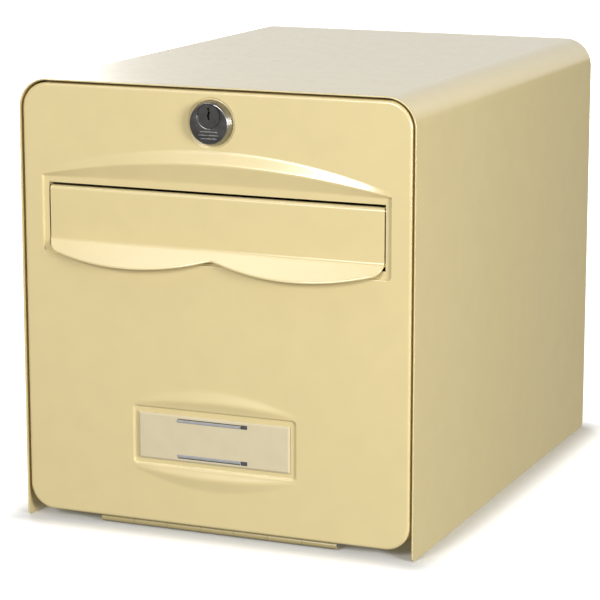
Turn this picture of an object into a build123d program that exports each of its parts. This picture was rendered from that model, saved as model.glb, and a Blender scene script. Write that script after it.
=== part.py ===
from build123d import *
import math
import os

# A steel letter box with a drop-down front door, a letter flap with a scalloped
# lip in the door, a cam lock above the flap and a clear name-plate cover below it.
# Millimetres. X is across the front, +Y runs back and +Z is up. The pieces are
# drawn with Y measured back from the door's flat face, and moved at the very end
# so that the origin is under the middle of the whole box.

# ---- casing -------------------------------------------------------------------
casing_width = 280.0
casing_height = 300.0
casing_depth = 380.0
casing_sheet = 1.0
casing_corner_r = 20.0        # outside of the bends between the top and the sides
side_toe_r = 4.0              # rounded lower corners of the side walls
flange = 12.0                 # welding flanges of the back and the floor
floor_underside = 4.9         # height of the floor's lower face above the ground

# ---- wall and post fixings ----------------------------------------------------
fixing_hole_r = 4.0
wall_spacing_x = 200.0
wall_spacing_z = 200.0
wall_centre_drop = 140.0      # pattern centre below the top of the casing
post_spacing_x = 120.0
post_spacing_y = 200.0

# ---- door ---------------------------------------------------------------------
door_sheet = 1.0
door_gap = 1.6                # shadow gap between the door and the casing
door_bottom = 6.3             # height of the door's lower edge
door_return = 15.0            # depth of the folded edges
door_edge_r = 2.0             # outside radius of the folded front edge

# ---- hinge under the door -----------------------------------------------------
hinge_length = 171.0
hinge_knuckles = 7            # odd ones on the casing, even ones on the door
hinge_leaf = 1.0
hinge_pin_r = 1.5
hinge_axis_back = 6.5         # pin behind the door's face
knuckle_gap = 0.25
leaf_gap = 0.4                # between the two closed leaves
running_fit = 0.05            # radial clearance of everything that turns
fixed_leaf_back = 34.0        # rear edge of the casing's leaf
rivet_r = 1.5
rivet_fit = 0.05              # hole round a rivet's shank
rivet_head_r = 3.0
rivet_head = 1.2
rivet_places = (-66.0, -22.0, 22.0, 66.0)

# ---- keeper and door stops ----------------------------------------------------
keeper_half_width = 55.0
keeper_drop = 8.5             # how far the keeper hangs below the casing's top
keeper_leg = 22.0
bumper_r = 3.6
bumper_thickness = 2.7
bumper_clearance = 0.3
door_bumper_x = 45.0

# ---- flap and its recess ------------------------------------------------------
recess_depth = 1.5
recess_border = 4.0           # flat ring between the slot and the recess's edge
recess_margin = 13.9          # recess to the door's side edge
recess_drop = 61.9            # recess's top edge below the door's top edge
flap_sheet = 1.2
flap_end_gap = 1.0
flap_top_gap = 2.0
flap_rod_r = 1.5
flap_flat = 35.0              # from the rolled top edge down to the lip's bend
lip_bend_r = 10.0             # front surface of the bend
lip_angle = 50.0              # how far the lip leans out from upright
lip_drop_low = 14.7           # bend to the lowest points of the scallops
lip_drop_cusp = 6.5           # bend to the middle cusp and to both ends
lip_corner_r = 6.0
cusp_r = 5.0
flap_rest_gap = 0.26          # lip to the slot's lower edge when closed

# ---- flap brackets and stops --------------------------------------------------
bracket_sheet = 1.2
bracket_end_gap = 1.8         # flap's end to the bracket
bracket_ear = 7.0             # how far the ear reaches back from the door
bracket_foot = 3.0
bracket_foot_height = 20.0
stop_tab_length = 7.0
stop_tab_height = 6.0
flap_bumper_r = 2.4
flap_bumper_thickness = 1.2

# ---- brow over the flap -------------------------------------------------------
brow_rise = 14.0              # ridge above the recess at the middle
brow_reach = 3.5              # ridge in front of the door's face at the middle
brow_ramp = 9.0               # height of the ramp over the ridge at the middle

# ---- lock ---------------------------------------------------------------------
lock_drop = 20.4              # centre below the door's top edge
dish_r = 16.5
dish_depth = 0.8
lock_face_r = 13.6
lock_base_r = 15.1            # rim where it meets the door
lock_face_reach = 4.5         # face in front of the door
lock_barrel_r = 12.0
lock_barrel_flats = 22.0
plug_offset = 4.8             # plug's axis above the lock's centre
plug_face_r = 7.8
plug_face_depth = 2.5
plug_r = 6.0
plug_square = 7.0
keyway_height = 8.4
keyway_rise = 1.5             # key slot and wafer windows above the plug's axis
keyway_width = 1.3
keyway_depth = 14.5
wafer_count = 5
wafer_pitch = 2.4
wafer_size = (4.6, 10.4, 1.0)
wafer_window = (3.2, 5.0)
wafer_clearance = 0.05
nut_across_flats = 30.0
nut_thickness = 5.0
cam_thickness = 2.0
cam_hub_r = 7.0
cam_length = 15.0
cam_width = 12.0
cam_clearance = 1.6           # cam behind the keeper
washer_r = 4.5
washer_thickness = 0.8
screw_r = 2.0
screw_head_r = 3.6
screw_head = 2.6
screw_length = 8.0

# ---- name plate ---------------------------------------------------------------
plate_width = 109.0
plate_height = 31.5
plate_centre_rise = 59.45     # above the door's lower edge
plate_proud = 0.6             # cover in front of the door's face
plate_bevel = 1.2
pocket_margin = 3.8
pocket_depth = 1.2
card_gap = 0.5                # space for the name card behind the cover
card_border = 4.0
clip_slot = (50.6, 3.4)
clip_slot_inset = 1.8         # plate's edge to the slot
clip_length = 45.5
clip_thickness = 2.2
clip_reach = 5.0
clip_hook = 0.9

# ---- worked out from the values above -----------------------------------------
casing_inner_r = casing_corner_r - casing_sheet
door_half_width = casing_width / 2 - casing_sheet - door_gap
door_top = casing_height - casing_sheet - door_gap
door_height = door_top - door_bottom
door_corner_r = casing_inner_r - door_gap

floor_top = floor_underside + casing_sheet
hinge_z = floor_underside - hinge_pin_r
knuckle_r = hinge_pin_r + hinge_leaf
door_leaf_z = floor_underside + leaf_gap
door_heel = math.hypot(door_return - hinge_axis_back, door_bottom + door_sheet + rivet_head - hinge_z)
floor_front = hinge_axis_back + door_heel + 0.8
leaf_relief = hinge_axis_back + knuckle_r + 0.5
door_rivet_y = (leaf_relief + door_return) / 2
floor_rivet_y = (floor_front + fixed_leaf_back) / 2

keeper_front = door_return + bumper_clearance + bumper_thickness
keeper_bottom = casing_height - casing_sheet - keeper_drop
cam_front = keeper_front + casing_sheet + cam_clearance

recess_half_width = door_half_width - recess_margin
recess_top = door_top - recess_drop
slot_half_width = recess_half_width - recess_border
slot_top = recess_top - recess_border
flap_half_width = slot_half_width - flap_end_gap
flap_top = slot_top - flap_top_gap
flap_roll_bore = flap_rod_r + running_fit
flap_roll_r = flap_roll_bore + flap_sheet
flap_axis_y = recess_depth + flap_roll_r
flap_axis_z = flap_top - flap_roll_r
lip_bend_z = flap_top - flap_flat
lip_centre_y = recess_depth - lip_bend_r
slot_bottom = lip_bend_z - math.sqrt((lip_bend_r + flap_sheet + flap_rest_gap) ** 2 - lip_bend_r ** 2)
recess_bottom = slot_bottom - recess_border - 1.4
lip_straight_drop = lip_drop_low - lip_bend_r * math.sin(math.radians(lip_angle))
lip_low_y = (lip_centre_y + lip_bend_r * math.cos(math.radians(lip_angle))
             - lip_straight_drop * math.tan(math.radians(lip_angle)))
lip_reach = -lip_low_y

bracket_x = flap_half_width + bracket_end_gap
bracket_front = recess_depth + door_sheet
stop_tab_y = recess_depth + flap_sheet + bumper_clearance + flap_bumper_thickness
stop_tab_z = slot_bottom + 2.5

lock_z = door_top - lock_drop
plug_z = lock_z + plug_offset
dish_back = dish_depth + door_sheet
barrel_end = cam_front - 0.6

plate_z = door_bottom + plate_centre_rise
clip_z = plate_height / 2 - clip_slot_inset - clip_slot[1] / 2

front_to_origin = (lip_reach - casing_depth) / 2


# ---- drawing helpers ----------------------------------------------------------
def front_view(sketch, y_start, y_end):
    """A sketch in X and Z, made solid from one depth to another."""
    return Pos(0, y_start, 0) * extrude(Plane.XZ * sketch, amount=y_start - y_end)


def side_view(sketch, x_start, x_end):
    """A sketch in Y and Z, made solid from one X to another."""
    return Pos(x_start, 0, 0) * extrude(Plane.YZ * sketch, amount=x_end - x_start)


def block(x0, x1, y0, y1, z0, z1):
    """A box from its lowest and highest corners."""
    return Pos((x0 + x1) / 2, (y0 + y1) / 2, (z0 + z1) / 2) * Box(x1 - x0, y1 - y0, z1 - z0)


def rounded(half_width, z0, z1, corner_r):
    """A rounded rectangle about X = 0, drawn in X and Z."""
    return Pos(0, (z0 + z1) / 2) * RectangleRounded(2 * half_width, z1 - z0, corner_r)


def disc(x, z, radius, y_start, y_end):
    """A round bar along Y."""
    return front_view(Pos(x, z) * Circle(radius), y_start, y_end)


def bar_x(y, z, radius, x_start, x_end):
    """A round bar along X."""
    return side_view(Pos(y, z) * Circle(radius), x_start, x_end)


def pin_z(x, y, radius, z_start, z_end):
    """A round bar along Z."""
    return Pos(x, y, (z_start + z_end) / 2) * Cylinder(radius, z_end - z_start)


# ---- casing -------------------------------------------------------------------
def make_casing_wrap():
    """Top and sides in one bent sheet, open in front, behind and below."""
    outer = Pos(0, casing_height / 2) * Rectangle(casing_width, casing_height)
    outer = fillet(outer.vertices().sort_by(Axis.Y)[-2:], casing_corner_r)
    inner_width = casing_width - 2 * casing_sheet
    inner_height = casing_height - casing_sheet
    inner = Pos(0, inner_height / 2) * Rectangle(inner_width, inner_height)
    inner = fillet(inner.vertices().sort_by(Axis.Y)[-2:], casing_inner_r)
    sheet = front_view(outer - inner, 0, casing_depth)
    outline = Pos(casing_depth / 2, casing_height / 2) * Rectangle(casing_depth, casing_height)
    outline = fillet(outline.vertices().sort_by(Axis.Y)[:2], side_toe_r)
    return sheet & side_view(outline, -casing_width / 2, casing_width / 2)


def make_back_panel():
    """A pan that stands on the floor, flanges forward, with four wall holes."""
    half_width = casing_width / 2 - casing_sheet
    top = casing_height - casing_sheet
    corner_r = casing_inner_r + 1.0
    pan = front_view(rounded(half_width, floor_top, top, corner_r), casing_depth - flange, casing_depth)
    hollow = rounded(half_width - casing_sheet, floor_top + casing_sheet, top - casing_sheet,
                     corner_r - casing_sheet)
    pan -= front_view(hollow, casing_depth - flange - 1, casing_depth - casing_sheet)
    centre_z = casing_height - wall_centre_drop
    for x in (-wall_spacing_x / 2, wall_spacing_x / 2):
        for z in (centre_z - wall_spacing_z / 2, centre_z + wall_spacing_z / 2):
            pan -= disc(x, z, fixing_hole_r, casing_depth - 2 * casing_sheet, casing_depth + 1)
    return pan


def make_floor_tray():
    """The floor, with side and front flanges up and four post holes."""
    half_width = casing_width / 2 - casing_sheet
    flange_top = floor_underside + flange
    side_end = casing_depth - flange - 2.0
    tray = block(-half_width, half_width, floor_front, casing_depth, floor_underside, floor_top)
    tray += block(-half_width, half_width, floor_front, floor_front + casing_sheet,
                  floor_underside, flange_top)
    for side in (-1, 1):
        edge = side * (half_width - casing_sheet / 2)
        tray += block(edge - casing_sheet / 2, edge + casing_sheet / 2, floor_front, side_end,
                      floor_underside, flange_top)
    for x in (-post_spacing_x / 2, post_spacing_x / 2):
        for y in (casing_depth / 2 - post_spacing_y / 2, casing_depth / 2 + post_spacing_y / 2):
            tray -= pin_z(x, y, fixing_hole_r, floor_underside - 1, floor_top + 1)
    for x in rivet_places:
        tray -= pin_z(x, floor_rivet_y, rivet_r + rivet_fit, floor_underside - 1, floor_top + 1)
    return tray


def make_keeper_plate():
    """An angle under the top: the cam turns up behind its hanging leg."""
    top = casing_height - casing_sheet
    plate = block(-keeper_half_width, keeper_half_width, keeper_front, keeper_front + keeper_leg,
                  top - casing_sheet, top)
    plate += block(-keeper_half_width, keeper_half_width, keeper_front, keeper_front + casing_sheet,
                   keeper_bottom, top)
    return plate


def make_door_bumpers():
    """Two rubber discs on the keeper, in line with the door's folded top edge."""
    z = door_top - bumper_r
    y_tip = door_return + bumper_clearance
    return [disc(x, z, bumper_r, y_tip, keeper_front) for x in (-door_bumper_x, door_bumper_x)]


# ---- hinge --------------------------------------------------------------------
def knuckle_spans(first):
    """The X ranges of every other knuckle, starting with the given one."""
    pitch = (hinge_length + knuckle_gap) / hinge_knuckles
    starts = [-hinge_length / 2 + index * pitch for index in range(first, hinge_knuckles, 2)]
    return [(start, start + pitch - knuckle_gap) for start in starts]


def make_leaf(first, plate_front, plate_back, plate_z, bore_r):
    """One hinge leaf: a flat plate, its own knuckles and room for the other's."""
    half = hinge_length / 2
    leaf = block(-half, half, plate_front, plate_back, plate_z, plate_z + hinge_leaf)
    for start, end in knuckle_spans(1 - first):
        room_start = max(start - knuckle_gap, -half)
        room_end = min(end + knuckle_gap, half)
        leaf -= block(room_start, room_end, plate_front - 1, leaf_relief, plate_z - 1, plate_z + 2)
    for start, end in knuckle_spans(first):
        leaf += bar_x(hinge_axis_back, hinge_z, knuckle_r, start, end)
    return leaf - bar_x(hinge_axis_back, hinge_z, bore_r, -half - 1, half + 1)


def make_hinge_leaf_fixed():
    """The casing's leaf, riveted under the floor."""
    leaf = make_leaf(0, hinge_axis_back, fixed_leaf_back, floor_underside - hinge_leaf, hinge_pin_r)
    for x in rivet_places:
        leaf -= pin_z(x, floor_rivet_y, rivet_r + rivet_fit, 0, floor_top)
    return leaf


def make_hinge_leaf_door():
    """The door's leaf, riveted under the door's folded lower edge."""
    leaf = make_leaf(1, hinge_axis_back + 0.5, door_return, door_leaf_z, hinge_pin_r + running_fit)
    for x in rivet_places:
        leaf -= pin_z(x, door_rivet_y, rivet_r + rivet_fit, door_leaf_z - 1, door_bottom + 1)
    return leaf


def make_hinge_pin():
    """A steel pin, fast in the casing's knuckles."""
    return bar_x(hinge_axis_back, hinge_z, hinge_pin_r, -hinge_length / 2, hinge_length / 2)


def make_floor_rivets():
    """Rivets with a head under the leaf and one on the floor."""
    leaf_z = floor_underside - hinge_leaf
    rivets = []
    for x in rivet_places:
        rivet = pin_z(x, floor_rivet_y, rivet_r, leaf_z - rivet_head, floor_top + rivet_head)
        rivet += pin_z(x, floor_rivet_y, rivet_head_r, leaf_z - rivet_head, leaf_z)
        rivet += pin_z(x, floor_rivet_y, rivet_head_r, floor_top, floor_top + rivet_head)
        rivets.append(rivet)
    return rivets


def make_door_rivets():
    """Rivets flush under the door's leaf, with heads inside the door."""
    inside = door_bottom + door_sheet
    rivets = []
    for x in rivet_places:
        rivet = pin_z(x, door_rivet_y, rivet_r, door_leaf_z, inside + rivet_head)
        rivet += pin_z(x, door_rivet_y, rivet_head_r, inside, inside + rivet_head)
        rivets.append(rivet)
    return rivets


# ---- door ---------------------------------------------------------------------
def make_pan():
    """The door's sheet, folded back all round with rounded corners."""
    outer = front_view(rounded(door_half_width, door_bottom, door_top, door_corner_r), 0, door_return)
    outer = fillet(outer.faces().sort_by(Axis.Y)[0].edges(), door_edge_r)
    hollow = rounded(door_half_width - door_sheet, door_bottom + door_sheet, door_top - door_sheet,
                     door_corner_r - door_sheet)
    inner = front_view(hollow, door_sheet, door_return + 1)
    inner = fillet(inner.faces().sort_by(Axis.Y)[0].edges(), door_edge_r - door_sheet)
    return outer - inner


def make_brow():
    """The pressed bump over the flap: a ramp down to an arched ridge, then a slope in."""
    sections = []
    steps = 6
    for index in range(-steps, steps + 1):
        share = index / steps
        height = max(1 - share ** 2, 0.04)
        ridge_z = recess_top + brow_rise * height
        ridge_y = -brow_reach * height
        ramp = brow_ramp * (0.4 + 0.6 * height)
        foot_z = recess_top + 0.2
        triangle = Polygon((0.5, foot_z), (ridge_y, ridge_z), (0.5, ridge_z + ramp), align=None)
        sections.append(Pos(share * recess_half_width, 0, 0) * (Plane.YZ * triangle))
    return loft([section.face() for section in sections], ruled=True)


def make_door_panel():
    """The pressed door with its brow, recess, slot, lock dish and name-plate pocket."""
    recess = rounded(recess_half_width, recess_bottom, recess_top, 3.0)
    recess_back = rounded(recess_half_width + door_sheet, recess_bottom - door_sheet,
                          recess_top + door_sheet, 4.0)
    pocket_half = plate_width / 2 + pocket_margin
    pocket_z0 = plate_z - plate_height / 2 - pocket_margin
    pocket_z1 = plate_z + plate_height / 2 + pocket_margin
    brow = make_brow()
    panel = make_pan() + brow
    panel -= Pos(0, door_sheet, 0) * brow
    panel += front_view(recess_back, 0.5, recess_depth + door_sheet)
    panel -= front_view(recess, -brow_reach - 1, recess_depth)
    panel -= front_view(rounded(slot_half_width, slot_bottom, slot_top, 2.0), -1, recess_depth + 2)
    panel += disc(0, lock_z, dish_r + door_sheet, 0.5, dish_back)
    panel -= disc(0, lock_z, dish_r, -1, dish_depth)
    panel -= lock_hole()
    panel += front_view(rounded(pocket_half + door_sheet, pocket_z0 - door_sheet, pocket_z1 + door_sheet,
                                2.5), 0.5, pocket_depth + door_sheet)
    panel -= front_view(rounded(pocket_half, pocket_z0, pocket_z1, 1.5), -1, pocket_depth)
    for side in (-1, 1):
        slot = Pos(0, plate_z + side * clip_z) * Rectangle(*clip_slot)
        panel -= front_view(slot, -1, pocket_depth + 2)
    for x in rivet_places:
        panel -= pin_z(x, door_rivet_y, rivet_r + rivet_fit, door_bottom - 1, door_bottom + 2)
    return panel


def barrel_outline(radius, across_flats):
    """A circle with two upright flats, about the lock's centre."""
    return Pos(0, lock_z) * (Circle(radius) & Rectangle(across_flats, 3 * radius))


def lock_hole():
    """The hole in the door that the lock's barrel keys into."""
    return front_view(barrel_outline(lock_barrel_r, lock_barrel_flats), -1, dish_back + 1)


# ---- flap ---------------------------------------------------------------------
def lip_point(radius, angle):
    """A point on the lip's bend, at an angle down from where the bend starts."""
    turn = math.radians(angle)
    return (lip_centre_y + radius * math.cos(turn), lip_bend_z - radius * math.sin(turn))


def lip_tip(radius):
    """The lower end of the straight lip, past the scallops' lowest points."""
    y, z = lip_point(radius, lip_angle)
    turn = math.radians(lip_angle)
    tip_z = lip_bend_z - lip_drop_low - 1.0
    return (y - (z - tip_z) * math.tan(turn), tip_z)


def flap_profile():
    """The flap's sheet from the side: flat, then bent out, then straight."""
    rear_r = lip_bend_r + flap_sheet
    front = Line((recess_depth, flap_axis_z), (recess_depth, lip_bend_z))
    front_bend = ThreePointArc(lip_point(lip_bend_r, 0), lip_point(lip_bend_r, lip_angle / 2),
                               lip_point(lip_bend_r, lip_angle))
    front_lip = Line(lip_point(lip_bend_r, lip_angle), lip_tip(lip_bend_r))
    tip = Line(lip_tip(lip_bend_r), lip_tip(rear_r))
    rear_lip = Line(lip_tip(rear_r), lip_point(rear_r, lip_angle))
    rear_bend = ThreePointArc(lip_point(rear_r, lip_angle), lip_point(rear_r, lip_angle / 2),
                              lip_point(rear_r, 0))
    rear = Line(lip_point(rear_r, 0), (recess_depth + flap_sheet, flap_axis_z))
    top = Line((recess_depth + flap_sheet, flap_axis_z), (recess_depth, flap_axis_z))
    return make_face([front, front_bend, front_lip, tip, rear_lip, rear_bend, rear, top])


def flap_outline():
    """The flap from the front: a rectangle with two shallow scallops below."""
    cusp_z = lip_bend_z - lip_drop_cusp
    low_z = lip_bend_z - lip_drop_low
    half = flap_half_width
    left = ThreePointArc((-half, cusp_z), (-half / 2, low_z), (0, cusp_z))
    right = ThreePointArc((0, cusp_z), (half / 2, low_z), (half, cusp_z))
    sides = Polyline((half, cusp_z), (half, flap_top + 1), (-half, flap_top + 1), (-half, cusp_z))
    outline = make_face([left, right, sides])
    low_points = outline.vertices().filter_by(lambda point: abs(point.Y - cusp_z) < 0.01)
    ends = low_points.filter_by(lambda point: abs(point.X) > 1)
    cusp = low_points.filter_by(lambda point: abs(point.X) < 1)
    outline = fillet(ends, lip_corner_r)
    cusp = outline.vertices().filter_by(lambda point: abs(point.X) < 1 and point.Y < lip_bend_z)
    return fillet(cusp, cusp_r)


def make_flap():
    """The flap: its top edge is rolled round the rod, its lip flares out."""
    sheet = side_view(flap_profile(), -flap_half_width, flap_half_width)
    sheet &= front_view(flap_outline(), -lip_reach - 5, flap_axis_y + flap_roll_r)
    sheet += bar_x(flap_axis_y, flap_axis_z, flap_roll_r, -flap_half_width, flap_half_width)
    return sheet - bar_x(flap_axis_y, flap_axis_z, flap_roll_bore, -flap_half_width - 1,
                         flap_half_width + 1)


def make_flap_rod():
    """The rod that the flap hangs on, fast in both brackets."""
    half = bracket_x + bracket_sheet
    return bar_x(flap_axis_y, flap_axis_z, flap_rod_r, -half, half)


def make_flap_bracket(side):
    """An ear behind the slot's end, with a foot on the door and a stop tab."""
    outer = bracket_x + bracket_sheet
    ear = block(bracket_x, outer, bracket_front, bracket_front + bracket_ear,
                stop_tab_z, flap_top + 2)
    foot_z = stop_tab_z + bracket_foot_height
    ear += block(bracket_x, bracket_x + bracket_foot, bracket_front, bracket_front + bracket_sheet,
                 stop_tab_z, foot_z)
    ear += block(bracket_x - stop_tab_length, outer, stop_tab_y, stop_tab_y + bracket_sheet,
                 stop_tab_z, stop_tab_z + stop_tab_height)
    ear -= bar_x(flap_axis_y, flap_axis_z, flap_rod_r, bracket_x - 1, outer + 1)
    return ear if side > 0 else mirror(ear, about=Plane.YZ)


def make_flap_bumpers():
    """Two rubber discs on the stop tabs, just behind the closed flap."""
    x = bracket_x - stop_tab_length / 2 - 0.5
    z = stop_tab_z + stop_tab_height / 2
    start = stop_tab_y - flap_bumper_thickness
    return [disc(side * x, z, flap_bumper_r, start, stop_tab_y) for side in (-1, 1)]


# ---- lock ---------------------------------------------------------------------
def make_lock_body():
    """The round lock housing, bored off centre for the plug."""
    rim = Pos(0, -lock_face_reach / 2, lock_z) * Rot(90, 0, 0) * Cone(lock_base_r, lock_face_r, lock_face_reach)
    rim = fillet(rim.faces().sort_by(Axis.Y)[0].edges(), 0.4)
    barrel = front_view(barrel_outline(lock_barrel_r, lock_barrel_flats), dish_depth, barrel_end)
    body = rim + disc(0, lock_z, lock_base_r, 0, dish_depth) + barrel
    body -= disc(0, plug_z, plug_face_r + running_fit, -lock_face_reach - 1,
                 plug_face_depth - lock_face_reach)
    return body - disc(0, plug_z, plug_r + running_fit, -lock_face_reach - 1, barrel_end + 1)


def keyway_outline():
    """A zigzag key slot about the plug's axis."""
    half = keyway_width / 2
    rows = [(0.0, 0.5), (-0.25, 0.3), (0.45, 0.12), (-0.35, -0.15), (0.25, -0.35), (0.0, -0.5)]
    middle = plug_z + keyway_rise
    left = [(step - half, middle + share * keyway_height) for step, share in rows]
    right = [(step + half, middle + share * keyway_height) for step, share in reversed(rows)]
    return Polygon(*left, *right, align=None)


def wafer_starts():
    """The front face of each wafer, from the plug's face back."""
    first = plug_face_depth - lock_face_reach + 1.5
    return [first + index * wafer_pitch for index in range(wafer_count)]


def make_lock_plug():
    """The turning plug: face, stem with wafer slots, square tail and screw hole."""
    face_back = plug_face_depth - lock_face_reach - running_fit
    tail_end = cam_front + cam_thickness - 0.2
    plug = disc(0, plug_z, plug_face_r, -lock_face_reach, face_back)
    plug += disc(0, plug_z, plug_r, face_back, cam_front)
    plug += front_view(Pos(0, plug_z) * Rectangle(plug_square, plug_square), cam_front, tail_end)
    plug -= front_view(keyway_outline(), -lock_face_reach - 1, keyway_depth - lock_face_reach)
    room = 2 * wafer_clearance
    for start in wafer_starts():
        slot = Pos(0, plug_z) * Rectangle(wafer_size[0] + room, wafer_size[1] + room)
        plug -= front_view(slot, start - wafer_clearance, start + wafer_size[2] + wafer_clearance)
    return plug - disc(0, plug_z, screw_r, tail_end - screw_length, tail_end + 1)


def make_lock_wafers():
    """Brass wafers, each with a window that the key passes through."""
    window = Pos(0, keyway_rise) * Rectangle(*wafer_window)
    outline = Pos(0, plug_z) * (Rectangle(wafer_size[0], wafer_size[1]) - window)
    return [front_view(outline, start, start + wafer_size[2]) for start in wafer_starts()]


def make_lock_nut():
    """The hexagon nut that clamps the lock to the door."""
    outline = Pos(0, lock_z) * RegularPolygon(nut_across_flats / 2, 6, major_radius=False, rotation=30)
    nut = front_view(outline, dish_back, dish_back + nut_thickness)
    return nut - disc(0, lock_z, lock_barrel_r, dish_back - 1, dish_back + nut_thickness + 1)


def make_lock_cam():
    """The locking lever, turned to the left: the lock is open."""
    hub = Circle(cam_hub_r)
    arm = Pos(-cam_length / 2, 0) * Rectangle(cam_length, cam_width)
    arm = fillet(arm.vertices().sort_by(Axis.X)[:2], 3.0)
    room = 2 * running_fit
    hole = Rectangle(plug_square + room, plug_square + room)
    return front_view(Pos(0, plug_z) * (hub + arm - hole), cam_front, cam_front + cam_thickness)


def make_cam_washer():
    """The washer between the cam and its screw."""
    start = cam_front + cam_thickness
    outline = Pos(0, plug_z) * (Circle(washer_r) - Circle(screw_r))
    return front_view(outline, start, start + washer_thickness)


def make_cam_screw():
    """The screw that holds the cam on the plug's tail."""
    head_start = cam_front + cam_thickness + washer_thickness
    shank_start = cam_front + cam_thickness - 0.2 - screw_length + 0.5
    screw = disc(0, plug_z, screw_r, shank_start, head_start)
    head = disc(0, plug_z, screw_head_r, head_start, head_start + screw_head)
    drive = front_view(Pos(0, plug_z) * (Rectangle(4.4, 0.9) + Rectangle(0.9, 4.4)),
                       head_start + screw_head - 1.4, head_start + screw_head + 1)
    return screw + head - drive


# ---- name plate ---------------------------------------------------------------
def make_nameplate_cover():
    """A clear bevelled cover with a card space behind and two snap clips."""
    plate = front_view(Pos(0, plate_z) * Rectangle(plate_width, plate_height), -plate_proud, pocket_depth)
    plate = chamfer(plate.faces().sort_by(Axis.Y)[0].edges(), plate_bevel * 0.6, plate_bevel)
    card_room = 2 * (clip_slot_inset + clip_slot[1] + 1.0)
    card = Pos(0, plate_z) * Rectangle(plate_width - 2 * card_border, plate_height - card_room)
    plate -= front_view(card, pocket_depth - card_gap, pocket_depth + 1)
    clip_centre = (clip_length - clip_slot[0]) / 2 + 0.5
    for side in (-1, 1):
        leg_z = plate_z + side * clip_z
        leg = Pos(clip_centre, leg_z) * Rectangle(clip_length, clip_thickness)
        plate += front_view(leg, 0, clip_reach)
        hook_z = leg_z + side * (clip_thickness / 2 + clip_hook / 2)
        hook_start = pocket_depth + door_sheet + 0.3
        hook = Pos(clip_centre, hook_z) * Rectangle(clip_length, clip_hook)
        plate += front_view(hook, hook_start, clip_reach)
    return plate


# ---- write every piece --------------------------------------------------------
pieces = {
    "casing_wrap": make_casing_wrap(),
    "back_panel": make_back_panel(),
    "floor_tray": make_floor_tray(),
    "keeper_plate": make_keeper_plate(),
    "door_bumpers": make_door_bumpers(),
    "hinge_leaf_fixed": make_hinge_leaf_fixed(),
    "hinge_leaf_door": make_hinge_leaf_door(),
    "hinge_pin": make_hinge_pin(),
    "hinge_rivets_floor": make_floor_rivets(),
    "hinge_rivets_door": make_door_rivets(),
    "door_panel": make_door_panel(),
    "flap": make_flap(),
    "flap_rod": make_flap_rod(),
    "flap_bracket_left": make_flap_bracket(-1),
    "flap_bracket_right": make_flap_bracket(1),
    "flap_bumpers": make_flap_bumpers(),
    "lock_body": make_lock_body(),
    "lock_plug": make_lock_plug(),
    "lock_wafers": make_lock_wafers(),
    "lock_nut": make_lock_nut(),
    "lock_cam": make_lock_cam(),
    "lock_cam_washer": make_cam_washer(),
    "lock_cam_screw": make_cam_screw(),
    "nameplate_cover": make_nameplate_cover(),
}

os.makedirs("parts", exist_ok=True)
for name, piece in pieces.items():
    shape = Compound(children=piece) if isinstance(piece, list) else piece
    export_step(Pos(0, front_to_origin, 0) * shape, f"parts/{name}.step")

print("origin behind the door's face:", -front_to_origin)
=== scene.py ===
import math

import bmesh
import bpy
from mathutils import Matrix, Vector


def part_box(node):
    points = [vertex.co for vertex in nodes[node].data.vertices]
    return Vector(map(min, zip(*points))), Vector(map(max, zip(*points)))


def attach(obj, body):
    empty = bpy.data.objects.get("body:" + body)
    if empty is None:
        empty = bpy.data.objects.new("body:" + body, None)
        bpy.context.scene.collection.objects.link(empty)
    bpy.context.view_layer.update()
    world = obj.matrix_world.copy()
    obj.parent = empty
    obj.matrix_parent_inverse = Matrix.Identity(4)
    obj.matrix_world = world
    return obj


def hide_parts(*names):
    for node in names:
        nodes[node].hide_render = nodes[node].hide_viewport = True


# A steel letter box: a folded casing, a drop-down door with a letter flap, a cam
# lock and a name plate. Shapes are drawn in millimetres with y measured back
# from the door's flat face, and put in place in metres when each piece is finished.
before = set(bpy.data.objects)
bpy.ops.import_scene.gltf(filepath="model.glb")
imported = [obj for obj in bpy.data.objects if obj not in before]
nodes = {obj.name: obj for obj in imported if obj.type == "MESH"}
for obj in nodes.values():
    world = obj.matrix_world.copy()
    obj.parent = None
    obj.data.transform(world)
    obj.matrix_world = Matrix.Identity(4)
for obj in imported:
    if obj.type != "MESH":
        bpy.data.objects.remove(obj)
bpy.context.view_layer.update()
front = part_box("casing_wrap")[0].y


# ---- camera ---------------------------------------------------------------------
# Stands to the right of the box and a little above it, far back, with a long lens.
camera_data = bpy.data.cameras.new("camera")
camera_data.sensor_width = 36.0
camera_data.lens = 151.52
camera = bpy.data.objects.new("camera", camera_data)
camera.location = (0.67562, front - 1.45788, 0.49726)
camera.rotation_euler = (math.radians(90 - 11.818), 0.0, math.radians(22.839))
bpy.context.collection.objects.link(camera)
bpy.context.scene.camera = camera
bpy.context.scene.view_settings.view_transform = "Standard"


# ---- studio ---------------------------------------------------------------------
# A matt white floor with a glow of its own, dimmed close round the box as a painted contact
# shadow, and a dim sky.
# Four small soft boxes in front, above and on the right shape the paint's highlights,
# and three larger ones behind light the back and the floor far away.
FOOTPRINT_HALF = (0.14, 0.187, 0.0)
PAINTED_SHADOW_BORDER, FLOOR_GLOW, SKY_GLOW = 0.032, 0.75, 0.18


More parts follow.
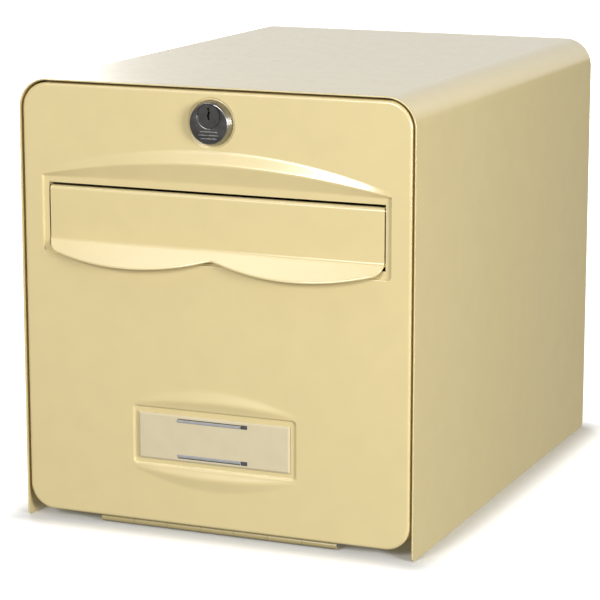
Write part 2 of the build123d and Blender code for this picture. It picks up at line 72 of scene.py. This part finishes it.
def floor_glow_with_painted_contact_shadow(tree, shader):
    """The floor's own glow with a painted contact shadow: none under the box, full at the shadow
    border's outer edge.
    """
    place = tree.nodes.new("ShaderNodeTexCoord").outputs["Object"]
    steps = (("ABSOLUTE", None), ("SUBTRACT", FOOTPRINT_HALF),
             ("MAXIMUM", (0.0, 0.0, 0.0)), ("LENGTH", None))
    for operation, second in steps:
        node = tree.nodes.new("ShaderNodeVectorMath")
        node.operation = operation
        tree.links.new(place, node.inputs[0])
        if second:
            node.inputs[1].default_value = second
        place = node.outputs["Value" if operation == "LENGTH" else "Vector"]
    # painted contact shadow: the floor's glow fades to nothing across the border next to the
    # box's footprint
    fade = tree.nodes.new("ShaderNodeMapRange")
    fade.interpolation_type = "SMOOTHSTEP"
    fade.inputs["From Max"].default_value = PAINTED_SHADOW_BORDER
    fade.inputs["To Min"].default_value = 0.0
    fade.inputs["To Max"].default_value = FLOOR_GLOW
    tree.links.new(place, fade.inputs["Value"])
    tree.links.new(fade.outputs["Result"], shader.inputs["Emission Strength"])


def studio_floor():
    bm = bmesh.new()
    bmesh.ops.create_grid(bm, x_segments=2, y_segments=2, size=15.0)
    mesh = bpy.data.meshes.new("studio_floor")
    bm.to_mesh(mesh)
    floor = bpy.data.objects.new("studio_floor", mesh)
    bpy.context.collection.objects.link(floor)
    material = bpy.data.materials.new("floor_white")
    material.use_nodes = True
    shader = material.node_tree.nodes["Principled BSDF"]
    shader.inputs["Base Color"].default_value = (0.93, 0.93, 0.92, 1.0)
    shader.inputs["Roughness"].default_value = 0.9
    shader.inputs["Specular IOR Level"].default_value = 0.1
    shader.inputs["Emission Color"].default_value = (1.0, 1.0, 1.0, 1.0)
    floor_glow_with_painted_contact_shadow(material.node_tree, shader)
    mesh.materials.append(material)
    floor.visible_diffuse = False
    floor.visible_glossy = False


def soft_box(name, place, aim, width, height, watts, beam=180.0):
    light = bpy.data.lights.new(name, "AREA")
    light.shape = "RECTANGLE"
    light.size = width
    light.size_y = height
    light.energy = watts
    light.spread = math.radians(beam)
    lamp = bpy.data.objects.new(name, light)
    lamp.location = place
    lamp.rotation_euler = (Vector(aim) - Vector(place)).to_track_quat("-Z", "Y").to_euler()
    bpy.context.collection.objects.link(lamp)


studio_floor()
soft_box("key_light", (-0.87, -1.84, 1.21), (0.0, -0.18, 0.25), 0.12, 0.12, 0.9)
soft_box("top_light", (-0.64, -0.70, 1.56), (0.0, -0.19, 0.19), 0.2, 0.6, 2.2)
soft_box("rear_light", (-0.6, 2.6, 1.1), (0.0, 0.0, 0.3), 4.0, 1.4, 17.0)
soft_box("back_light", (-1.7, 1.9, 0.9), (0.0, 0.1, 0.15), 0.9, 0.9, 30.0)
soft_box("side_light", (1.5, -0.9, 0.4), (0.14, 0.0, 0.15), 0.5, 0.5, 24.0)
soft_box("front_light", (-0.35, -2.2, 0.95), (0.0, -0.18, 0.15), 0.6, 0.6, 26.0)
soft_box("floor_light", (-1.5, 4.2, 2.4), (-1.5, 4.21, 0.0), 7.0, 5.0, 90.0, beam=70.0)
sky = bpy.data.worlds.new("sky")
sky.use_nodes = True
background = sky.node_tree.nodes["Background"]
background.inputs["Color"].default_value = (1.0, 1.0, 1.0, 1.0)
background.inputs["Strength"].default_value = SKY_GLOW
bpy.context.scene.world = sky


# ---- casing ---------------------------------------------------------------------
# One steel sheet bent over the top and down both sides, with rounded toes at the
# floor. Powder-coated in satin sand yellow; the back and the floor are welded in.
PAINT = (0.765, 0.632, 0.322)


def texture_place(tree):
    """Object coordinates, shared by every pattern of one material."""
    return tree.nodes.new("ShaderNodeTexCoord").outputs["Object"]


def noise(tree, scale, detail):
    """A noise pattern of the given scale, in cells per metre."""
    node = tree.nodes.new("ShaderNodeTexNoise")
    node.inputs["Scale"].default_value = scale
    node.inputs["Detail"].default_value = detail
    tree.links.new(texture_place(tree), node.inputs["Vector"])
    return node.outputs["Fac"]


def spread(tree, value, low, high):
    """The pattern's middle range, stretched to run from low to high."""
    node = tree.nodes.new("ShaderNodeMapRange")
    node.inputs["From Min"].default_value = 0.3
    node.inputs["From Max"].default_value = 0.7
    node.inputs["To Min"].default_value = low
    node.inputs["To Max"].default_value = high
    tree.links.new(value, node.inputs["Value"])
    return node.outputs["Result"]


def two_tone(tree, value, dark, light):
    """A colour that runs between two tones with the pattern."""
    node = tree.nodes.new("ShaderNodeMix")
    node.data_type = "RGBA"
    node.inputs["A"].default_value = (*dark, 1.0)
    node.inputs["B"].default_value = (*light, 1.0)
    tree.links.new(value, node.inputs["Factor"])
    return node.outputs["Result"]


def grain(tree, shader, value, strength, depth):
    """Fine relief in the surface, depth in metres."""
    bump = tree.nodes.new("ShaderNodeBump")
    bump.inputs["Strength"].default_value = strength
    bump.inputs["Distance"].default_value = depth
    tree.links.new(value, bump.inputs["Height"])
    tree.links.new(bump.outputs["Normal"], shader.inputs["Normal"])


def new_material(name):
    material = bpy.data.materials.new(name)
    material.use_nodes = True
    return material, material.node_tree, material.node_tree.nodes["Principled BSDF"]


def powder_coat(name, colour):
    """Satin powder coat: an even colour, faint mottling and a fine orange-peel skin."""
    material, tree, shader = new_material(name)
    dark = tuple(0.985 * part for part in colour)
    light = tuple(1.012 * part for part in colour)
    mottle = spread(tree, noise(tree, 55.0, 2.0), 0.0, 1.0)
    tree.links.new(two_tone(tree, mottle, dark, light), shader.inputs["Base Color"])
    tree.links.new(spread(tree, noise(tree, 160.0, 3.0), 0.22, 0.25), shader.inputs["Roughness"])
    shader.inputs["Specular IOR Level"].default_value = 1.0
    grain(tree, shader, noise(tree, 650.0, 1.0), 0.05, 0.00005)
    return material


sand_paint = powder_coat("sand_paint", PAINT)


def finish_piece(name, bm, material, body, node):
    """Puts a shape drawn in millimetres in its place, hangs it on its body's empty and hides the
    part it replaces.
    """
    bmesh.ops.scale(bm, vec=(0.001, 0.001, 0.001), verts=bm.verts)
    bmesh.ops.translate(bm, vec=(0.0, front, 0.0), verts=bm.verts)
    mesh = bpy.data.meshes.new(name)
    bm.to_mesh(mesh)
    bm.free()
    mesh.shade_smooth()
    mesh.materials.append(material)
    piece = bpy.data.objects.new(name, mesh)
    bpy.context.collection.objects.link(piece)
    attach(piece, body)
    if node:
        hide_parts(node)
    return piece


def rounded_edges(piece, radius, segments=2, angle=40.0):
    """Breaks the sharp edges of a piece, and keeps its flat faces flat in the light."""
    bevel = piece.modifiers.new("edge_break", "BEVEL")
    bevel.width = radius * 0.001
    bevel.segments = segments
    bevel.limit_method = "ANGLE"
    bevel.angle_limit = math.radians(angle)
    shading = piece.modifiers.new("flat_faces", "WEIGHTED_NORMAL")
    shading.weight = 100


def sheet_metal(piece, thickness, edge=0.3):
    """Gives a drawn outer surface its wall on the inside, with rounded cut edges."""
    wall = piece.modifiers.new("sheet", "SOLIDIFY")
    wall.thickness = thickness * 0.001
    wall.offset = -1.0
    wall.use_even_offset = True
    rounded_edges(piece, edge)


def casing_sheet():
    width, depth, height, corner, toe = 280.0, 380.0, 300.0, 20.0, 4.0
    bm = bmesh.new()
    bmesh.ops.create_cube(bm, size=1.0)
    bmesh.ops.scale(bm, vec=(width, depth, height), verts=bm.verts)
    bmesh.ops.translate(bm, vec=(0.0, depth / 2, height / 2), verts=bm.verts)
    open_sides = [f for f in bm.faces if abs(f.normal.y) > 0.5 or f.normal.z < -0.5]
    bmesh.ops.delete(bm, geom=open_sides, context="FACES")
    toes = [v for v in bm.verts if v.co.z < 1.0]
    bmesh.ops.bevel(bm, geom=toes, offset=toe, segments=6, affect="VERTICES",
                    profile=0.5, material=-1)
    bends = [e for e in bm.edges
             if all(v.co.z > height - 1.0 for v in e.verts) and len(e.link_faces) == 2]
    bmesh.ops.bevel(bm, geom=bends, offset=corner, segments=18, affect="EDGES",
                    profile=0.5, material=-1)
    return bm


casing = finish_piece("casing_sheet", casing_sheet(), sand_paint,
                      "casing", "casing_wrap")
sheet_metal(casing, 1.0)

for node in ("back_panel", "floor_tray", "keeper_plate"):
    nodes[node].material_slots[0].material = sand_paint


# ---- door -----------------------------------------------------------------------
# One pressed sheet with folded edges. Over the flap stands an arched brow, the flap
# hangs in a shallow recess, the lock in a dish, the name plate in a pocket between
# two smaller swellings. Powder-coated like the casing.
DOOR_HALF, DOOR_LOW, DOOR_HIGH = 137.4, 6.3, 297.4
LOCK_Z = 277.0
PLATE_Z = 65.75


def ease(value):
    """A smooth step from 0 to 1."""
    value = min(max(value, 0.0), 1.0)
    return value * value * (3.0 - 2.0 * value)


def along(points, z):
    """The height of a profile of (z, y) points at z, with straight runs between."""
    if z <= points[0][0]:
        return points[0][1]
    for (z0, y0), (z1, y1) in zip(points, points[1:]):
        if z <= z1:
            return y0 + (y1 - y0) * (z - z0) / max(z1 - z0, 1e-6)
    return points[-1][1]


def pressed(points, z, radius):
    """The same profile with its corners rounded, as in pressed sheet."""
    steps = [radius * (index - 4) / 4 for index in range(9)]
    return sum(along(points, z + step) for step in steps) / len(steps)


def inside_by(x, z, half_width, low, high, corner):
    """How far a point lies inside a rounded rectangle; negative outside."""
    across = abs(x) - half_width + corner
    middle, half_height = (low + high) / 2, (high - low) / 2
    upward = abs(z - middle) - half_height + corner
    return corner - math.hypot(max(across, 0.0), max(upward, 0.0)) - min(max(across, upward), 0.0)


def stops(*spans):
    """Places along a line: each span is its end and the number of steps to reach it."""
    places = [spans[0][0]]
    for end, steps in spans[1:]:
        start = places[-1]
        places += [start + (end - start) * (step + 1) / steps for step in range(steps)]
    return places


def patch(bm, columns, rows, place):
    """A grid laid in the door's face, each point moved to place(x, row)."""
    made = bmesh.ops.create_grid(bm, x_segments=len(columns) - 1,
                                 y_segments=len(rows) - 1, size=0.5)
    for vert in made["verts"]:
        column = round((vert.co.x + 0.5) * (len(columns) - 1))
        row = round((vert.co.y + 0.5) * (len(rows) - 1))
        vert.co = place(columns[column], rows[row])


def cut_window(bm, x_half, low, high):
    """Cuts a window through the face, to the grid lines that bound it."""
    middles = {f: f.calc_center_median() for f in bm.faces}
    gone = [f for f, middle in middles.items()
            if abs(middle.x) < x_half and low < middle.z < high]
    bmesh.ops.delete(bm, geom=gone, context="FACES")


def mirrored(half):
    """Columns for both sides of the middle from those of the right side."""
    return [-x for x in reversed(half[1:])] + half


def turned(bm, profile, centre_z, steps=96):
    """A turned shape about an axis along y, from (radius, y) points."""
    chain = [bm.verts.new((radius, y, centre_z)) for radius, y in profile]
    edges = [bm.edges.new(pair) for pair in zip(chain, chain[1:])]
    bmesh.ops.spin(bm, geom=chain + edges, cent=(0.0, 0.0, centre_z), axis=(0.0, 1.0, 0.0),
                   angle=math.tau, steps=steps, use_merge=True)


RECESS_HALF, RECESS_LOW, RECESS_HIGH = 123.5, 183.5, 235.5
RECESS_DEPTH, RECESS_CORNER = 1.5, 3.0
SLOT_HALF, SLOT_LOW, SLOT_HIGH = 119.5, 188.9, 231.5
BROW_ROW, BROW_FOOT, BROW_RIDGE = 233.5, 235.4, 236.6
FOOT_RISE, RIDGE_RISE, BROW_REACH = 1.6, 13.4, 3.5
BROW_RAMP, RAMP_RISE = 3.0, 5.6


def brow_keys(x):
    """Heights of the brow's foot, ridge and top at x, and how far the ridge reaches out."""
    swell = max(1.0 - (x / RECESS_HALF) ** 2, 0.0)
    ridge = BROW_RIDGE + RIDGE_RISE * swell
    top = ridge + BROW_RAMP + RAMP_RISE * swell
    return BROW_FOOT + FOOT_RISE * swell, ridge, top, BROW_REACH * swell


def flap_surround(x, row):
    """The face around the flap: rows up to BROW_ROW are heights, then they follow the arch."""
    foot, ridge, top, reach = brow_keys(x)
    if row <= BROW_ROW:
        z = row
    else:
        arch = [(0.0, BROW_ROW), (1.0, foot), (2.0, ridge), (3.0, top), (4.0, top + 1.0)]
        z = along(arch, row - BROW_ROW)
    # the recess's upper edge lies behind the brow, so its outline is carried on above it
    inside = inside_by(x, z, RECESS_HALF, RECESS_LOW, RECESS_HIGH + 30.0, RECESS_CORNER)
    depth = RECESS_DEPTH * ease((inside + 0.4) / 0.9)
    if abs(x) > RECESS_HALF + 1.5:
        return Vector((x, 0.0, z))
    rounding = 0.35 + 0.6 * min(reach / BROW_REACH, 1.0)
    face = pressed([(foot, RECESS_DEPTH), (ridge, -reach), (top, 0.0)], z, rounding)
    return Vector((x, min(face, depth) if z < foot + 3.0 else face, z))


POCKET_HALF, POCKET_LOW, POCKET_HIGH = 58.3, 46.2, 85.3
POCKET_DEPTH, POCKET_CORNER, POCKET_EDGE, POCKET_MARGIN = 1.2, 2.5, 1.6, 1.0
SWELLING_HALF, SWELLING_REACH, SWELLING_ROUND = 60.0, 1.7, 1.2
SWELLING_RIDGE, RIDGE_SPREAD = 1.0, 4.6
SWELLING_TOP, TOP_SPREAD = 2.0, 11.6
CLIP_SLOT_HALF, CLIP_SLOT_INNER, CLIP_SLOT_OUTER = 25.3, 12.25 - 1.7, 12.25 + 1.7


def plate_surround(x, row):
    """The face around the name plate: rows under 0 below the pocket, over 1 above it."""
    swell = max(1.0 - (x / SWELLING_HALF) ** 2, 0.0)
    ridge, top = SWELLING_RIDGE + RIDGE_SPREAD * swell, SWELLING_TOP + TOP_SPREAD * swell
    reach = SWELLING_REACH * swell
    low, high = POCKET_LOW - POCKET_MARGIN, POCKET_HIGH + POCKET_MARGIN
    z = low + (high - low) * row
    y = 0.0
    if row < 0.0 or row > 1.0:
        past = -row if row < 0.0 else row - 1.0
        out = along([(0.0, 0.0), (1.0, ridge), (2.0, top), (3.0, top + 2.0)], past)
        z = low - out if row < 0.0 else high + out
        y = pressed([(0.0, 0.0), (ridge, -reach), (top, 0.0)], out, SWELLING_ROUND)
    inside = inside_by(x, z, POCKET_HALF, POCKET_LOW, POCKET_HIGH, POCKET_CORNER)
    depth = ease((inside + POCKET_EDGE / 2) / POCKET_EDGE)
    return Vector((x, y * (1.0 - depth) + POCKET_DEPTH * depth, z))


def pocket_row(z):
    """The row of the name plate's surround that lies at height z."""
    low, high = POCKET_LOW - POCKET_MARGIN, POCKET_HIGH + POCKET_MARGIN
    return (z - low) / (high - low)


def door_skin():
    edge_radius, corner, fold = 2.0, 17.4, 15.0
    bm = bmesh.new()
    bmesh.ops.create_grid(bm, x_segments=1, y_segments=1, size=0.5)
    bmesh.ops.rotate(bm, matrix=Matrix.Rotation(math.radians(90), 3, "X"), verts=bm.verts)
    bmesh.ops.scale(bm, vec=(2 * DOOR_HALF, 1.0, DOOR_HIGH - DOOR_LOW), verts=bm.verts)
    bmesh.ops.translate(bm, vec=(0.0, 0.0, (DOOR_LOW + DOOR_HIGH) / 2), verts=bm.verts)
    bmesh.ops.bevel(bm, geom=bm.verts[:], offset=corner, segments=16, affect="VERTICES",
                    profile=0.5, material=-1)
    folded = bmesh.ops.extrude_edge_only(bm, edges=bm.edges[:])
    moved = [v for v in folded["geom"] if isinstance(v, bmesh.types.BMVert)]
    bmesh.ops.translate(bm, vec=(0.0, fold, 0.0), verts=moved)
    front_edges = [e for e in bm.edges
                   if all(abs(v.co.y) < 0.01 for v in e.verts) and len(e.link_faces) == 2]
    bmesh.ops.bevel(bm, geom=front_edges, offset=edge_radius, segments=7, affect="EDGES",
                    profile=0.5, material=-1)
    # the flat face is the only one with many corners; its middle is drawn as three patches
    face = [f for f in bm.faces if len(f.verts) > 20]
    bmesh.ops.inset_region(bm, faces=face, thickness=1.5, depth=0.0)
    face = [f for f in bm.faces if len(f.verts) > 20]
    bmesh.ops.delete(bm, geom=face, context="FACES_ONLY")

    # the flap's surround
    half = stops((0.0,), (117.0, 44), (119.5, 5), (122.3, 5), (124.6, 9), (129.0, 3))
    rows = stops((177.0,), (181.5, 3), (185.0, 14), (SLOT_LOW, 3), (SLOT_HIGH, 18), (BROW_ROW, 2))
    arch_rows = stops((0.25,), (1.0, 6), (1.75, 9), (2.3, 12), (3.0, 8), (4.0, 2))
    rows += [BROW_ROW + row for row in arch_rows]
    patch(bm, mirrored(half), rows, flap_surround)
    cut_window(bm, SLOT_HALF, SLOT_LOW, SLOT_HIGH)

    # the name plate's surround
    half = stops((0.0,), (25.3, 10), (56.0, 12), (57.0, 3), (59.8, 12), (62.0, 2))
    rows = stops((-3.0,), (-2.0, 2), (-1.0, 9), (-0.001, 7),
                 (pocket_row(POCKET_LOW + POCKET_EDGE / 2), 9),
                 (pocket_row(PLATE_Z - CLIP_SLOT_OUTER), 3),
                 (pocket_row(PLATE_Z - CLIP_SLOT_INNER), 3),
                 (pocket_row(PLATE_Z + CLIP_SLOT_INNER), 10),
                 (pocket_row(PLATE_Z + CLIP_SLOT_OUTER), 3),
                 (pocket_row(POCKET_HIGH - POCKET_EDGE / 2), 3),
                 (1.001, 9), (2.0, 7), (3.0, 9), (4.0, 2))
    patch(bm, mirrored(half), rows, plate_surround)
    for side in (-1, 1):
        low, high = sorted(PLATE_Z + side * edge for edge in (CLIP_SLOT_INNER, CLIP_SLOT_OUTER))
        cut_window(bm, CLIP_SLOT_HALF, low, high)

    # the lock's dish
    turned(bm, [(12.1, 0.8), (15.5, 0.8), (15.85, 0.72), (16.15, 0.5), (16.4, 0.22),
                (16.65, 0.05), (16.9, 0.0)], LOCK_Z)
    bmesh.ops.remove_doubles(bm, verts=bm.verts, dist=0.002)

    # the flat sheet between the rim and the three patches
    flat_rims = [e for e in bm.edges
                 if len(e.link_faces) == 1 and all(abs(v.co.y) < 0.002 for v in e.verts)]
    bmesh.ops.triangle_fill(bm, use_beauty=True, use_dissolve=False, edges=flat_rims)
    bmesh.ops.recalc_face_normals(bm, faces=bm.faces)
    return bm


door = finish_piece("door_skin", door_skin(), sand_paint, "door", "door_panel")
sheet_metal(door, 1.0, edge=0.2)


# ---- flap -----------------------------------------------------------------------
# Steel sheet: its top edge is rolled round a rod, its foot sweeps out into a lip with
# two scallops, and the lip's rim is turned down. Powder-coated like the door.
def flap_skin():
    half_width, top, roll = 118.5, 229.5, 2.75
    face_y, axis_y, axis_z = 1.5, 4.25, top - roll
    bend_z, bend_r, lean = 194.5, 3.0, math.radians(41.0)
    cusp_z, low_z, end_r = 188.0, 179.8, 6.0
    blunt_half, blunt_drop = 5.0, 0.35
    roll_steps, flat_rows, lip_rows, rim_rows = 22, 5, 22, 8
    rim_r, rim_step = 1.5, math.radians(58.0) / rim_rows

    def rim_height(x):
        """The scalloped foot: an arc on each side, a blunt cusp between, rounded ends."""
        chord, rise = half_width, cusp_z - low_z
        radius = (chord ** 2 / 4 + rise ** 2) / (2 * rise)
        centre = low_z + radius
        height = centre - math.sqrt(radius ** 2 - (abs(x) - half_width / 2) ** 2)
        if abs(x) < blunt_half:
            height -= blunt_drop * (1 - abs(x) / blunt_half) ** 2
        past = abs(x) - (half_width - end_r)
        if past > 0:
            height += 0.9 * (end_r - math.sqrt(max(end_r ** 2 - past ** 2, 0.0)))
        return height

    def lip_run(z):
        """Length along the sheet, from the bend's start, down to height z."""
        arc_drop = bend_r * math.sin(lean)
        if z > bend_z - arc_drop:
            return bend_r * math.asin(min((bend_z - z) / bend_r, 1.0))
        return bend_r * lean + (bend_z - arc_drop - z) / math.cos(lean)

    def lip_point(run):
        """The sheet's place and lean at a length along the lip."""
        centre_y = face_y - bend_r
        turn = min(run / bend_r, lean)
        y = centre_y + bend_r * math.cos(turn)
        z = bend_z - bend_r * math.sin(turn)
        rest = max(run - bend_r * lean, 0.0)
        return y - rest * math.sin(turn), z - rest * math.cos(turn), turn

    columns = mirrored(stops((0.0,), (6.0, 12), (54.0, 24), (110.0, 26), (114.0, 4),
                             (half_width, 22)))
    rows = roll_steps + flat_rows + lip_rows + rim_rows
    bm = bmesh.new()
    made = bmesh.ops.create_grid(bm, x_segments=len(columns) - 1, y_segments=rows, size=0.5)
    for vert in made["verts"]:
        x = columns[round((vert.co.x + 0.5) * (len(columns) - 1))]
        row = round((0.5 - vert.co.y) * rows)
        if row <= roll_steps:
            turn = math.radians(300.0) * (1.0 - row / roll_steps)
            y = axis_y - roll * math.cos(turn)
            z = axis_z + roll * math.sin(turn)
        elif row <= roll_steps + flat_rows:
            share = (row - roll_steps) / flat_rows
            y, z = face_y, axis_z + (bend_z - axis_z) * share
        else:
            total = lip_run(rim_height(x)) - 0.8
            lip_row = row - roll_steps - flat_rows
            run = total * min(lip_row / lip_rows, 1.0)
            y, z, turn = lip_point(run)
            # the rim turns down from the lip's lean and a little past upright
            for step in range(lip_row - lip_rows):
                middle = turn - (step + 0.5) * rim_step
                y -= rim_r * rim_step * math.sin(middle)
                z -= rim_r * rim_step * math.cos(middle)
        vert.co = (x, y, z)
    bmesh.ops.recalc_face_normals(bm, faces=bm.faces)
    flat = [f for f in bm.faces if abs(f.calc_center_median().y - face_y) < 0.01]
    if sum(f.normal.y for f in flat) > 0:
        bmesh.ops.reverse_faces(bm, faces=bm.faces)
    return bm


flap = finish_piece("flap_skin", flap_skin(), sand_paint, "flap", "flap")
sheet_metal(flap, 1.2, edge=0.3)
for node in ("flap_bracket_left", "flap_bracket_right"):
    nodes[node].material_slots[0].material = sand_paint


# ---- hinge ----------------------------------------------------------------------
# A steel piano hinge under the door, its leaves riveted on and given the box's paint made much
# darker as painted shade for the door's shadow; its pin, like the flap's rod and the lock's small
# parts, is bright zinc-plated steel.
def zinc_plate():
    material, tree, shader = new_material("zinc_plate")
    cloud = spread(tree, noise(tree, 120.0, 4.0), 0.0, 1.0)
    tone = two_tone(tree, cloud, (0.44, 0.45, 0.46), (0.60, 0.61, 0.62))
    tree.links.new(tone, shader.inputs["Base Color"])
    tree.links.new(spread(tree, noise(tree, 400.0, 3.0), 0.26, 0.42), shader.inputs["Roughness"])
    shader.inputs["Metallic"].default_value = 1.0
    grain(tree, shader, noise(tree, 1500.0, 2.0), 0.1, 0.00004)
    return material


zinc = zinc_plate()
# painted shade: the box's sand paint darkened to stand for the door's shadow on the hinge leaves
hinge_painted_shade = powder_coat("hinge_painted_shade", (0.47, 0.385, 0.18))
for node in ("hinge_leaf_fixed", "hinge_leaf_door"):
    nodes[node].material_slots[0].material = hinge_painted_shade
for node in ("hinge_pin", "hinge_rivets_floor", "hinge_rivets_door", "flap_rod"):
    nodes[node].material_slots[0].material = zinc


# ---- rubber stops ---------------------------------------------------------------
# Dark grey rubber discs glued on: two stop the door, two quieten the flap.
def rubber():
    material, tree, shader = new_material("stop_rubber")
    cloud = spread(tree, noise(tree, 300.0, 3.0), 0.0, 1.0)
    tree.links.new(two_tone(tree, cloud, (0.018, 0.018, 0.018), (0.03, 0.03, 0.029)),
                   shader.inputs["Base Color"])
    tree.links.new(spread(tree, noise(tree, 900.0, 2.0), 0.72, 0.85), shader.inputs["Roughness"])
    grain(tree, shader, noise(tree, 2500.0, 2.0), 0.25, 0.00005)
    return material


stop_rubber = rubber()
for node in ("door_bumpers", "flap_bumpers"):
    nodes[node].material_slots[0].material = stop_rubber


# ---- lock -----------------------------------------------------------------------
# A cam lock: a turned, polished rim, a darker face with a turning plug and three
# plain raised lines, and a threaded barrel with two flats that passes through the door.
def metal(name, dark, light, rough_low, rough_high):
    """Plated metal with faint clouding and a fine grain."""
    material, tree, shader = new_material(name)
    cloud = spread(tree, noise(tree, 260.0, 4.0), 0.0, 1.0)
    tree.links.new(two_tone(tree, cloud, dark, light), shader.inputs["Base Color"])
    tree.links.new(spread(tree, noise(tree, 700.0, 3.0), rough_low, rough_high),
                   shader.inputs["Roughness"])
    shader.inputs["Metallic"].default_value = 1.0
    grain(tree, shader, noise(tree, 900.0, 1.0), 0.03, 0.00002)
    return material


rim_chrome = metal("rim_chrome", (0.32, 0.31, 0.295), (0.40, 0.39, 0.37), 0.26, 0.32)
face_nickel = metal("face_nickel", (0.125, 0.122, 0.117), (0.165, 0.16, 0.153), 0.3, 0.36)
PLUG_Z = LOCK_Z + 4.8


def lock_housing():
    face_y, back_y, barrel_end, barrel_flat = -4.5, 0.8, 20.0, 11.0
    bm = bmesh.new()
    turned(bm, [(12.8, face_y), (13.2, face_y + 0.12), (13.6, face_y + 0.55), (15.0, -0.15),
                (15.05, 0.1), (15.05, back_y), (12.0, back_y), (12.0, barrel_end)], LOCK_Z)
    turned(bm, [(8.3, face_y), (7.9, face_y + 0.3), (7.85, -2.0), (6.05, -2.0),
                (6.05, barrel_end)], PLUG_Z, steps=72)
    bmesh.ops.remove_doubles(bm, verts=bm.verts, dist=0.001)
    for vert in bm.verts:
        beside = abs(vert.co.x) > barrel_flat and abs(vert.co.z - LOCK_Z) < 6.0
        if vert.co.y > back_y + 0.1 and beside:
            vert.co.x = math.copysign(barrel_flat, vert.co.x)
    for y in (face_y, barrel_end):
        loops = [e for e in bm.edges
                 if len(e.link_faces) == 1 and all(abs(v.co.y - y) < 0.01 for v in e.verts)]
        bmesh.ops.triangle_fill(bm, use_beauty=True, use_dissolve=False, edges=loops,
                                normal=(0, 1, 0))
    bmesh.ops.recalc_face_normals(bm, faces=bm.faces)
    for face in bm.faces:
        middle = face.calc_center_median()
        face.material_index = 1 if middle.y < face_y + 0.03 else 0
    return bm


def raised_lines():
    line_depth, line_height, line_y = 0.5, 0.9, -4.6
    bm = bmesh.new()
    for z, width in ((271.6, 12.0), (269.4, 14.0), (267.2, 11.0)):
        made = bmesh.ops.create_cube(bm, size=1.0)["verts"]
        bmesh.ops.scale(bm, vec=(width, line_depth, line_height), verts=made)
        bmesh.ops.translate(bm, vec=(0.0, line_y, z), verts=made)
    return bm


housing = finish_piece("lock_housing", lock_housing(), rim_chrome,
                       "door", "lock_body")
housing.data.materials.append(face_nickel)
rounded_edges(housing, 0.05, angle=60.0)
lines = finish_piece("lock_lines", raised_lines(), rim_chrome, "door", None)
rounded_edges(lines, 0.2)

nodes["lock_plug"].material_slots[0].material = face_nickel
for node in ("lock_nut", "lock_cam", "lock_cam_washer", "lock_cam_screw"):
    nodes[node].material_slots[0].material = zinc
nodes["lock_wafers"].material_slots[0].material = metal(
    "wafer_brass", (0.60, 0.42, 0.16), (0.70, 0.50, 0.21), 0.25, 0.4)


# ---- name plate -----------------------------------------------------------------
# A bevelled acrylic cover, cream and only slightly see-through, with no writing. Two
# grey spring clips hold it, snapped through slots in the door.
def cream_acrylic():
    material, tree, shader = new_material("cream_acrylic")
    haze = spread(tree, noise(tree, 90.0, 2.0), 0.0, 1.0)
    tree.links.new(two_tone(tree, haze, (0.75, 0.655, 0.435), (0.78, 0.685, 0.46)),
                   shader.inputs["Base Color"])
    tree.links.new(spread(tree, noise(tree, 500.0, 2.0), 0.1, 0.16), shader.inputs["Roughness"])
    shader.inputs["Alpha"].default_value = 0.88
    return material


def name_cover():
    width, height, proud, back = 109.0, 31.5, 0.6, 0.65
    bevel_width, bevel_depth = 1.7, 0.7
    bm = bmesh.new()
    bmesh.ops.create_cube(bm, size=1.0)
    bmesh.ops.scale(bm, vec=(width, proud + back, height), verts=bm.verts)
    bmesh.ops.translate(bm, vec=(0.0, (back - proud) / 2, PLATE_Z), verts=bm.verts)
    face = [f for f in bm.faces if f.normal.y < -0.5]
    bmesh.ops.inset_region(bm, faces=face, thickness=bevel_width, depth=0.0)
    edge = [v for v in bm.verts if v.co.y < 0.0 and (abs(v.co.x) > width / 2 - 0.1
                                                    or abs(v.co.z - PLATE_Z) > height / 2 - 0.1)]
    bmesh.ops.translate(bm, vec=(0.0, bevel_depth, 0.0), verts=edge)
    return bm


def grey_plastic(name, dark, light):
    material, tree, shader = new_material(name)
    cloud = spread(tree, noise(tree, 220.0, 3.0), 0.0, 1.0)
    tree.links.new(two_tone(tree, cloud, dark, light), shader.inputs["Base Color"])
    tree.links.new(spread(tree, noise(tree, 700.0, 2.0), 0.32, 0.42), shader.inputs["Roughness"])
    return material


def spring_clips():
    """On each side a bar, a lower step on its outer edge darkened as painted shade, and a dark
    block at the end.
    """
    start, end, last, hook_y = -26.0, 19.5, 24.5, 5.0
    # tone 1 takes the dark material: painted shade on the sunk outer step, plain dark on the end
    # block
    boxes = ((start, end + 0.1, 11.85, 1.8, -1.1, 0),
             (start, end, 13.2, 1.1, -0.66, 1),
             (end + 0.1, last, 12.25, 2.9, -0.8, 1))
    bm = bmesh.new()
    for side in (-1, 1):
        for x0, x1, offset, height, front_y, tone in boxes:
            before = set(bm.faces)
            made = bmesh.ops.create_cube(bm, size=1.0)["verts"]
            for face in set(bm.faces) - before:
                face.material_index = tone
            bmesh.ops.scale(bm, vec=(x1 - x0, hook_y - front_y, height), verts=made)
            middle = ((x0 + x1) / 2, (hook_y + front_y) / 2, PLATE_Z + side * offset)
            bmesh.ops.translate(bm, vec=middle, verts=made)
    return bm


cover = finish_piece("name_cover", name_cover(), cream_acrylic(),
                     "door", "nameplate_cover")
rounded_edges(cover, 0.12, angle=20.0)
clip_grey = grey_plastic("clip_grey", (0.34, 0.34, 0.345), (0.40, 0.40, 0.405))
clips = finish_piece("name_clips", spring_clips(), clip_grey,
                     "door", "nameplate_cover")
clips.data.materials.append(grey_plastic("clip_dark_and_painted_shade", (0.07, 0.07, 0.072), (0.10, 0.10, 0.102)))
rounded_edges(clips, 0.35)
